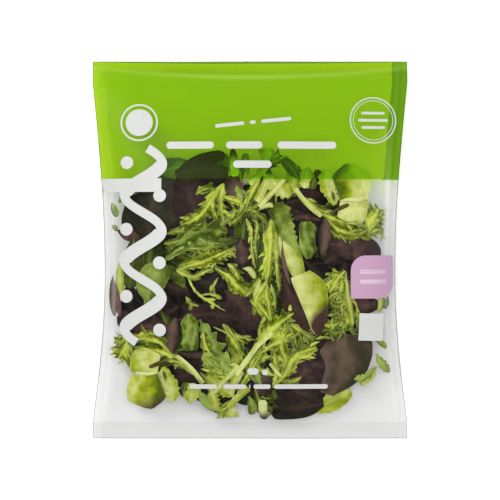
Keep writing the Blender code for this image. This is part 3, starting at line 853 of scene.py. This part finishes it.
# %% Leaves that lie once
once = [
    (red_leaf, 6.5, 16, [(30, -4), (40, -12), (52, -26)], dict(tone=-0.15)),
    (red_leaf, 6.5, 22, [(-43, -15), (-29, -20), (-12, -24)], dict(tone=-0.15)),
    (red_leaf, 6.5, 13, [(-6, 8), (-5, -1), (-4, -10)], dict(tone=0.5)),
    (green_leaf, 6.5, 24, [(-64, -24), (-63, -5), (-60, 13)], dict(tone=0.1)),
    (red_leaf, 5.2, 17, [(-46, -44), (-22, -40), (7, -48)], dict(tone=0.25)),
    (red_leaf, 5.0, 9, [(-84, 12), (-76, 10), (-68, 8)], dict(tone=0.8)),
    (red_leaf, 4.4, 16, [(-16, -25), (-6, -34), (9, -46)], dict(tone=0.42)),
    (green_leaf, 4.2, 19, [(-64, -34), (-62, -20), (-53, -8)], dict(tone=0.76, cut=0.04, fold=1.2)),
    (red_leaf, 5.8, 14, [(-76.5, -20), (-75, -32), (-74, -46)], dict(tone=0.0)),
    (lettuce, 4.2, 6, [(-81, -4), (-82.5, -18), (-80.5, -31)], dict(tone=0.55)),
    (green_leaf, 5.4, 14, [(-73, 9), (-73.5, -7), (-76, -24)], dict(tone=0.35, cut=0.04, blush=0.3)),
    (red_leaf, 3.4, 6, [(-87.5, -16), (-89, -28), (-86, -42)], dict(tone=0.9, blush=0.4)),
    (red_leaf, 3.2, 4.6, [(-86, -19), (-84.5, -30), (-82, -42)], dict(tone=1.0, rib=0.2)),
    (red_leaf, 4.0, 11, [(60, -36), (71, -35), (82, -34)], dict(tone=0.5)),
    (lettuce, 3.6, 6, [(81, -25), (83, -32), (81, -39)], dict(tone=0.6)),
    (green_leaf, 4.6, 9, [(8, 18), (9, 0), (6, -18)], dict(tone=0.25, cut=0.08)),
    (green_leaf, 5.0, 11, [(-40, 6), (-22, 2), (-8, 6)], dict(tone=0.2)),
    (mizuna, 3.0, 25, [(-53, -6), (-42, 2), (-30, 10), (-15, 14)], dict(tone=0.62)),
    (green_leaf, 2.6, 19, [(-50, 1), (-38, 8), (-27, 12), (-14, 11)],
     dict(tone=0.48, cut=0.7, teeth=5, stripes=0.15, midrib=0.1, lean=0.1)),
    (frisee, 2.6, 6, [(-54, 4), (-44, 6), (-36, 13), (-26, 14)], dict(tone=0.45)),
    (frisee, 3.4, 4, [(-53, 10), (-44, 12), (-36, 9)], dict(tone=0.55)),
    (frisee, 3.0, 7, [(-45, -15), (-37, -8), (-30, -6)], dict(tone=0.55)),
    (frisee, 2.0, 8, [(-46, -12.5), (-32, -8), (-21, -3.6), (-9, 1.2)], dict(tone=0.72, tuft=0.12, stripes=0.28)),
    (frisee, 2.6, 3.4, [(-46, -13), (-36, -16.5), (-29, -13.5), (-22.5, -11)], dict(tone=0.74, tuft=0.4)),
    (frisee, 2.8, 6, [(-38, 1), (-27, 1), (-15, 3)], dict(tone=0.5, tuft=0.2)),
    (frisee, 1.6, 8.5, [(-22, -11), (-14, -16), (-8, -22), (0.5, -26)], dict(tone=0.72, tuft=0.1, stripes=0.28)),
    (frisee, 1.8, 5.5, [(-14, -8.6), (-10, -12), (-6.5, -19)], dict(tone=0.78, tuft=0.1)),
    (lettuce, 2.2, 4.2, [(-4.5, -11.5), (0, -12.4), (3.5, -18)], dict(tone=0.75)),
    (lettuce, 2.2, 4.4, [(2, -30), (4.2, -24), (6, -17.5)], dict(tone=0.7)),
    (frisee, 2.2, 1.9, [(-38.6, -17.5), (-33.4, -26.3), (-25.6, -32.1), (-15, -38.2)], dict(tone=0.95, tuft=0.2)),
    (frisee, 2.4, 2.0, [(-29.8, -28), (-24, -27.6), (-18, -29.4)], dict(tone=0.85, tuft=0.3)),
    (frisee, 2.8, 1.8, [(-20, -17), (-23, -23), (-21, -29)], dict(tone=0.6, tuft=0.3)),
    (frisee, 3.4, 3.0, [(-40, -29), (-37, -33), (-32, -35)], dict(tone=0.55, tuft=0.3)),
    (frisee, 2.2, 2.8, [(-2.4, 20), (0.2, 12), (1.5, -1), (3.5, -12)], dict(tone=0.74, tuft=0.3)),
    (frisee, 2.6, 2.4, [(1, 19), (4.2, 16), (3.4, 5), (4, -6)], dict(tone=0.66, tuft=0.3)),
    (frisee, 1.4, 7.2, [(13.4, 19), (12.5, 5.5), (11.5, -7.5), (10.4, -21)], dict(tone=0.82, tuft=0.1, cut=0.15, fold=2.0)),
    (frisee, 1.6, 3.4, [(15.6, 8), (16.6, -7.5), (18.6, -26)], dict(tone=0.7, tuft=0.1, cut=0.2)),
    (frisee, 1.6, 7, [(10.4, -19), (5.5, -28), (4.5, -33), (9, -39), (13.5, -45)], dict(tone=0.76, tuft=0.1, cut=0.45)),
    (frisee, 1.8, 6, [(10.5, -20), (10.8, -30), (13.5, -44)], dict(tone=0.76, tuft=0.1, cut=0.45)),
    (frisee, 2.2, 2.4, [(13, -21), (15, -28), (15.8, -37)], dict(tone=0.62, tuft=0.3)),
    (frisee, 2.2, 6.0, [(-3, -29), (2, -24), (6, -17)], dict(tone=0.68, tuft=0.15)),
    (frisee, 2.6, 6.0, [(0, -31), (4, -36), (9, -44)], dict(tone=0.55, tuft=0.15)),
    (red_leaf, 2.8, 13, [(19, -12), (27, -33), (38, -54)], dict(tone=0.42, fold=0.8)),
    (lettuce, 3.0, 15, [(18.5, 10), (24.5, -3), (29.5, -19)], dict(tone=0.66, lean=-0.15, outline=one_sided)),
    (red_leaf, 2.0, 3.0, [(20, 6), (21, -8), (25, -22)], dict(tone=1.0, rib=0.15)),
    (lettuce, 1.0, 27, [(30, -15.5), (37, -33), (43, -54)],
     dict(tone=0.66, lean=-0.2, fade=-0.25, midrib=0.0, blush=at_corner(0.6), outline=half_seen)),
    (frisee, 3.6, 14, [(60.5, -14), (57, -30), (60, -51)], dict(tone=0.4, tuft=0.6)),
    (lettuce, 2.0, 5, [(60, -15), (61.5, -28), (64.5, -48)], dict(tone=0.5, fold=1.2, stripes=0.15)),
    (frisee, 2.2, 9, [(60, -13), (54.5, -18), (50, -27)], dict(tone=0.7, tuft=0.2, stripes=0.25)),
    (frisee, 3.4, 9, [(64, -30), (67, -36), (69, -44)], dict(tone=0.6, tuft=0.4)),
    (frisee, 1.8, 12, [(2, -62), (9, -53.5), (18.4, -46), (27.5, -39)], dict(tone=0.76, tuft=0.35, midrib=0.8, body=1.4)),
    (ribbon, 1.3, 3.2, [(-9, -78.5), (-2, -69), (5, -59.5), (14, -51.5)], dict(tone=0.95)),
    (frisee, 2.2, 9, [(8, -64), (16, -58), (27, -52)], dict(tone=0.72, tuft=0.35, body=1.4)),
    (frisee, 2.0, 9, [(21, -81), (22, -70), (20, -60), (24, -48)], dict(tone=0.6, tuft=0.4, body=1.4)),
    (frisee, 1.6, 7.5, [(24.5, -77), (27, -69), (33, -64.5), (41, -61.5)], dict(tone=0.82, tuft=0.2, body=1.4)),
    (frisee, 2.4, 5, [(25, -46), (32, -51), (40, -57)], dict(tone=0.6, tuft=1.0)),
    (frisee, 2.6, 6, [(23, -45), (27, -53), (30, -63)], dict(tone=0.5, tuft=0.7)),
    (frisee, 2.8, 5, [(29, -49), (32, -56), (33, -64)], dict(tone=0.35, tuft=0.7)),
    (ribbon, 1.4, 2.0, [(12.5, -71), (16, -75.5), (19.5, -79.5)], dict(tone=0.9)),
    (frisee, 2.4, 4.4, [(-1, -78), (2, -68), (9, -60)], dict(tone=0.64)),
    (green_leaf, 2.8, 18, [(-6, -80), (-17, -72), (-30, -66)], dict(tone=0.85, cut=0.5, teeth=6, stripes=0.2)),
    (frisee, 2.0, 6.5, [(-14.6, -47), (-8, -58), (-5, -69), (-6, -79)], dict(tone=0.55)),
    (frisee, 2.1, 5.5, [(-29.5, -49.8), (-28.2, -58), (-24.3, -65.5), (-16, -70)], dict(tone=0.72, tuft=0.2)),
    (frisee, 2.0, 9, [(-17, -46), (-11, -56), (-7, -66), (-9, -74)], dict(tone=0.6, tuft=0.2, stripes=0.25)),
    (frisee, 2.2, 8.5, [(-8, -74), (-18, -70.5), (-29, -67)], dict(tone=0.58, tuft=0.3, stripes=0.25)),
    (frisee, 2.0, 8, [(-9, -81.5), (-18, -79.5), (-27, -76.5)], dict(tone=0.66, tuft=0.2, stripes=0.25)),
    (lettuce, 3.0, 9, [(-25, -84), (-23, -93), (-20, -103)], dict(tone=0.6, cut=0.6, stripes=0.1)),
    (frisee, 2.2, 6, [(-29, -67), (-20, -75), (-9, -79.5)], dict(tone=0.68)),
    (frisee, 1.9, 6, [(-8, -79.5), (-19, -77), (-28, -73)], dict(tone=0.76, tuft=0.8)),
    (frisee, 2.8, 1.8, [(-23, -48), (-9, -53.8), (4, -56.5)], dict(tone=0.6, tuft=0.2)),
    (frisee, 1.8, 2.2, [(41, -56), (46, -54.6), (52.5, -55.4)], dict(tone=0.6, tuft=0.2)),
    (green_leaf, 4.0, 5, [(38, -53), (50, -50), (60, -55)], dict(tone=0.2)),
    (green_leaf, 4.0, 4.0, [(79, -56), (83, -58.5), (87, -62)], dict(tone=0.75, cut=0.02)),
    (green_leaf, 4.4, 7, [(80, -65.5), (83, -71), (89.5, -77.5)], dict(tone=0.85, cut=0.4, teeth=4)),
    (lettuce, 5.2, 6, [(80.5, -74), (77, -79.5), (70, -86)], dict(tone=0.45, cut=0.5)),
    (green_leaf, 2.2, 5.5, [(-88.5, 30), (-86.5, 26), (-84, 21)], dict(tone=0.7, cut=0.02)),
    (green_leaf, 2.2, 3.6, [(-88.5, 15.5), (-86, 14.2), (-83.5, 12.4)], dict(tone=0.75, cut=0.02)),
    (green_leaf, 2.2, 4.5, [(88, -29), (87, -33), (85, -37)], dict(tone=0.4, cut=0.02)),
    (lettuce, 4.8, 12, [(27, 35), (27.5, 43), (27, 51)], dict(tone=0.3, cut=0.3)),
]

# %% Curls of frisee that crowd together beside the tag
CURLS, CURL_MIDDLE, CURL_SPREAD = 22, (56.0, -33.0), (7.0, 18.0)
rng = np.random.default_rng(8)
for number in range(CURLS):
    share = number / (CURLS - 1)
    x = CURL_MIDDLE[0] + CURL_SPREAD[0] * rng.uniform(-1, 1) * (0.4 + 0.6 * share)
    y = CURL_MIDDLE[1] + CURL_SPREAD[1] * (1 - 2 * share)
    path = arc(x, y, rng.uniform(0, 360), rng.uniform(9, 14), rng.choice([-1, 1]) * rng.uniform(40, 110))
    once.append((frisee, rng.uniform(2.2, 3.4), rng.uniform(4.0, 6.5), path,
                 dict(tone=rng.uniform(0.3, 0.85), tuft=0.8, body=1.5, reach=0.7)))

# %% Lay the placed leaves
reds, frisees, lettuces, greens, stems = Sheets(), Sheets(), Sheets(), Sheets(), Sheets()
pile = {red_leaf: reds, lobed_red_leaf: reds, frisee: frisees, lettuce: lettuces, green_leaf: greens,
        mizuna: greens, stem: stems, ribbon: lettuces}
# The changes for a turned copy may set another tone; where the two copies differ in brightness, this partly paints the
# different light and shade on the two halves of the heap.
for number, (kind, depth, width, path, shape) in enumerate(twice):
    shape = dict(shape)
    changes = dict(shape.pop("other", {}))
    kind(pile[kind], np.random.default_rng(100 + number), path, width, depth, **shape)
    move = changes.pop("move", (0, 0))
    turned_path = [(2 * MIDDLE[0] - x + move[0], 2 * MIDDLE[1] - y + move[1]) for x, y in path]
    kind(pile[kind], np.random.default_rng(300 + number), turned_path, width, depth + 0.15, **{**shape, **changes})
for number, (kind, depth, width, path, shape) in enumerate(once):
    kind(pile[kind], np.random.default_rng(500 + number), path, width, depth, **shape)
print(2 * len(twice) + len(once), "placed leaves")

# %% [markdown]
# Under them lie leaves that nobody chose a place for. Just below the placed ones the shade is deep, and these
# leaves get dark tones that paint it in, besides the shade the render casts. The rest are drawn at random, but from
# a fixed seed, at all depths down to the back film, so that the bag is as full from the side and from below as
# from above.

# %% Dark leaves in the shade
SHADE_STEP = 12.5
HEAP_HALF = (75.0, 78.0)  # how far the heap reaches from its middle, in mm
rng = np.random.default_rng(21)
for row in range(-6, 7):
    for column in range(-6, 7):
        across, up = column * SHADE_STEP + rng.uniform(-4, 4), row * SHADE_STEP + rng.uniform(-4, 4)
        if (abs(across) / HEAP_HALF[0]) ** 2.6 + (abs(up) / HEAP_HALF[1]) ** 2.6 > 0.8 or up > 62:
            continue
        x, y = MIDDLE[0] + across, MIDDLE[1] + up
        space = float(front_z(x * MM, y * MM) - back_z(x * MM, y * MM)) / MM
        depth = min(rng.uniform(7.5, 11), 0.6 * space)
        path = arc(x, y, rng.uniform(0, 360), rng.uniform(24, 36), rng.uniform(-30, 30))
        if rng.uniform() < 0.7:
            # Their tones sit near the dark end: painted shade, on top of what the render casts.
            red_leaf(reds, rng, path, rng.uniform(16, 24), depth, tone=rng.uniform(0.0, 0.2), fine=0.6)
        else:
            green_leaf(greens, rng, path, rng.uniform(10, 16), depth, tone=rng.uniform(0.0, 0.25), fine=1.2)

# %% Loose leaves at all depths
LOOSE_LEAVES = 110
for number in range(LOOSE_LEAVES):
    ring, way = rng.uniform(0, 1) ** 0.45, rng.uniform(0, 2 * math.pi)
    x = MIDDLE[0] + HEAP_HALF[0] * 0.88 * ring * math.copysign(abs(math.cos(way)) ** 0.7, math.cos(way))
    y = MIDDLE[1] + HEAP_HALF[1] * 0.88 * ring * math.copysign(abs(math.sin(way)) ** 0.7, math.sin(way))
    space = float(front_z(x * MM, y * MM) - back_z(x * MM, y * MM)) / MM
    depth = space * rng.uniform(0.5, 0.98)
    path = arc(x, y, rng.uniform(0, 360), rng.uniform(28, 46), rng.uniform(-40, 40))
    kind = [red_leaf, red_leaf, red_leaf, frisee, frisee, frisee, green_leaf, green_leaf, lettuce][number % 9]
    broad = {red_leaf: 25, frisee: 6, green_leaf: 16, lettuce: 20}[kind] * rng.uniform(0.8, 1.2)
    coarse = dict(detail=0.4) if kind is frisee else dict(fine=0.8)
    kind(pile[kind], rng, path, broad, depth, tone=rng.uniform(0.1, 0.7), dive=rng.uniform(-6, 6), **coarse)

for name, sheets, skin, slot in (
    ("red_leaves", reds, red_skin, "red_leaf"),
    ("frisee_leaves", frisees, frisee_skin, "green_leaf"),
    ("lettuce_leaves", lettuces, lettuce_skin, "pale_leaf"),
    ("green_leaves", greens, green_skin, "green_leaf"),
    ("leaf_stems", stems, stem_skin, "pale_leaf"),
):
    sheets.build(name, [skin])

# %% [markdown]
# ## The core of the heap
# No light reaches the middle of the heap, so it needs no single leaves. One lumpy mass, painted nearly black as
# shade, fills it and closes the gaps between them.

# %% Core
core = Sheets()
core_turn, core_rise = np.linspace(0, 2 * np.pi, 73)[None, :], np.linspace(-np.pi / 2, np.pi / 2, 37)[:, None]
CORE_HALF = (66 * MM, 64 * MM)
core_x = MIDDLE[0] * MM + CORE_HALF[0] * np.cos(core_rise) * np.cos(core_turn)
core_y = MIDDLE[1] * MM + CORE_HALF[1] * np.cos(core_rise) * np.sin(core_turn)
floor_z, roof_z = back_z(core_x, core_y) + 4 * MM, front_z(core_x, core_y) - 13 * MM
knobs = 1.6 * MM * (np.sin(190 * core_x + 3 * np.sin(90 * core_y)) + np.sin(170 * core_y + 2 * np.sin(120 * core_x)))
share = 0.5 + 0.5 * np.sin(core_rise)
core_z = floor_z + np.maximum(roof_z + knobs - floor_z, 0.5 * MM) * share
core.add(core_x, core_y, core_z, core_x, core_y, tone=0.1, rib=0.0, blush=0.0)
core_skin = leaf_material("core_skin", srgb(14, 14, 6), srgb(26, 28, 10), srgb(44, 50, 18), srgb(50, 52, 30), PURPLE,
                          vein=0.0, glow=0.05)
core.build("heap_core", [core_skin])

# %% [markdown]
# ## The print
# White and lilac inks are opaque, and they lie on the outer side of the film. Each printed shape is a thin patch of
# mesh just above the film, so that its edges stay crisp. All shapes are plain fields, bars, rings and a waving
# ornament with dots, which stand for the words and badges of a real bag.

# %% Ink
INK_LIFT = 0.12 * MM


def ink_material(name, colour):
    """Opaque ink with the faint unevenness of flexographic printing."""
    material, tree = new_material(name)
    place = add(tree, "TexCoord")
    grain = add(tree, "TexNoise", {"Vector": place.outputs["Object"]}, Scale=260.0, Detail=3.0)
    thin = add(tree, "MapRange", {"Value": grain.outputs["Fac"]}, From_Min=0.3, From_Max=0.7, To_Min=0.0, To_Max=0.09)
    shade = add(tree, "Mix", {0: thin.outputs["Result"]}, data_type="RGBA")
    shade.inputs[6].default_value = colour
    shade.inputs[7].default_value = tuple(0.6 * c for c in colour[:3]) + (1,)
    bump = add(tree, "Bump", {"Height": grain.outputs["Fac"]}, Strength=0.1, Distance=0.05 * MM)
    ink = add(tree, "BsdfPrincipled", {"Base Color": shade.outputs[2], "Normal": bump.outputs["Normal"]},
              Roughness=0.45, Specular_IOR_Level=0.25)
    finish_material(tree, ink.outputs["BSDF"])
    return material


white_ink = ink_material("white_ink", srgb(188, 189, 186))
lilac_ink = ink_material("lilac_ink", srgb(176, 140, 166))
blush_ink = ink_material("pale_lilac_ink", srgb(200, 178, 194))


def print_on(sheets, x, y, slot):
    """Lays a grid of points, in millimetres, on the film."""
    x, y = x * MM, y * MM
    sheets.add(x, y, front_z(x, y) + INK_LIFT, x, y, slot)


# %% Printed shapes
def field(sheets, left, right, low_edge, high_edge, corners=(0, 0, 0, 0), tilt=0.0, slot=0):
    """A field with rounded corners, given from the top left one clockwise, tilted about its middle."""
    rows, columns = 24, max(2, int((right - left) / 1.5))
    height = high_edge - low_edge
    y = (low_edge + height * (1 - np.cos(np.linspace(0, np.pi, rows + 1))) / 2)[:, None]

    def inset(top, bottom):
        up = np.clip(y - (high_edge - top), 0, top)
        down = np.clip(low_edge + bottom - y, 0, bottom)
        return top - np.sqrt(np.maximum(top**2 - up**2, 0)) + bottom - np.sqrt(np.maximum(bottom**2 - down**2, 0))

    first, last = left + inset(corners[0], corners[3]), right - inset(corners[1], corners[2])
    last = np.maximum(last, first + 0.02)
    x = first + (last - first) * np.linspace(0, 1, columns + 1)[None, :]
    middle_x, middle_y, turned = (left + right) / 2, (low_edge + high_edge) / 2, math.radians(tilt)
    dx, dy = x - middle_x, y - middle_y + 0 * x
    print_on(sheets, middle_x + dx * math.cos(turned) - dy * math.sin(turned),
             middle_y + dx * math.sin(turned) + dy * math.cos(turned), slot)


def bar(sheets, left, right, middle, thickness, tilt=0.0, slot=0):
    """A slim bar with round ends."""
    end = thickness / 2 - 0.01
    field(sheets, left, right, middle - thickness / 2, middle + thickness / 2, (end,) * 4, tilt, slot)


def disc(sheets, x, y, radius, slot=0):
    bar(sheets, x - radius, x + radius, y, 2 * radius, slot=slot)


def ring(sheets, x, y, inner, outer, slot=0):
    turn = np.linspace(0, 2 * np.pi, 97)[:, None]
    across = np.linspace(inner, outer, 3)[None, :]
    print_on(sheets, x + across * np.sin(turn), y + across * np.cos(turn), slot)


def strand(sheets, path, thick, thin, slant):
    """A pen stroke along a path: thick where it runs at the angle slant, and thin across it, as a broad nib draws."""
    x, y, heading, length = smooth_path(path, int(smooth_path(path, 8)[3] * 1.2))
    half = (thin + (thick - thin) * np.cos(heading - math.radians(slant)) ** 2)[:, None] / 2
    across = np.linspace(-1, 1, 9)[None, :]
    print_on(sheets, x[:, None] - np.sin(heading)[:, None] * across * half,
             y[:, None] + np.cos(heading)[:, None] * across * half, 0)


# %% Header print
prints = Sheets()
ROUNDEL = (-70.0, 80.5)
disc(prints, *ROUNDEL, 8.6)
ring(prints, *ROUNDEL, 10.8, 11.9)
for left, right in ((-52.5, -22.7), (-15.0, 7.8), (17.3, 54.2)):
    bar(prints, left, right, 65.8, 4.6)
bar(prints, -10.6, 13.5, 53.6, 4.6)
for left, right in ((-22.0, -3.5), (0.0, 3.6), (7.0, 26.0)):
    bar(prints, left, right, 80.2 + 0.10 * (left + right) / 2, 2.3, tilt=6)
STAMP = (77.8, 82.0)
ring(prints, *STAMP, 14.1, 14.9)
ring(prints, *STAMP, 12.4, 12.8)
for up, half in ((4.6, 7.5), (0.0, 9.5), (-4.6, 7.5)):
    bar(prints, STAMP[0] - half, STAMP[0] + half, STAMP[1] + up, 1.7)

# %% Ornament, tag and small print
field(prints, -93.6, -55.5, 36.4, 44.9)
ORNAMENT_X, SWING, PITCH, TOP_BEND = -67.0, 11.5, 42.0, 55.0
down = np.linspace(64, -58, 90)
wave = ORNAMENT_X + SWING * np.cos(2 * np.pi * (down - TOP_BEND) / PITCH)
strand(prints, list(zip(wave, down)), 8.4, 5.4, 45.0)
for bend in range(6):
    side = 1 if bend % 2 else -1
    disc(prints, ORNAMENT_X + side * (SWING - 1.0), TOP_BEND - bend * PITCH / 2, 4.0)
field(prints, 62.9, 90.0, -30.4, -3.4, (9.5, 0, 9.0, 0), slot=1)
bar(prints, 68.5, 85.5, -13.6, 2.6, slot=2)
bar(prints, 68.5, 86.0, -19.8, 2.6, slot=2)
field(prints, 68.2, 83.6, -57.0, -39.8, tilt=-2)
bar(prints, -1.7, 5.4, -76.0, 4.2)
bar(prints, 7.4, 11.6, -76.6, 3.4)
for left, right in ((-38.0, -20.8), (-16.6, -2.2), (2.2, 13.0), (15.2, 49.0)):
    bar(prints, left, right, -85.8, 2.9)
for x in (-18.7, -0.2):
    bar(prints, x - 0.45, x + 0.45, -85.8, 5.0)
print_piece = prints.build("print", [white_ink, lilac_ink, blush_ink])
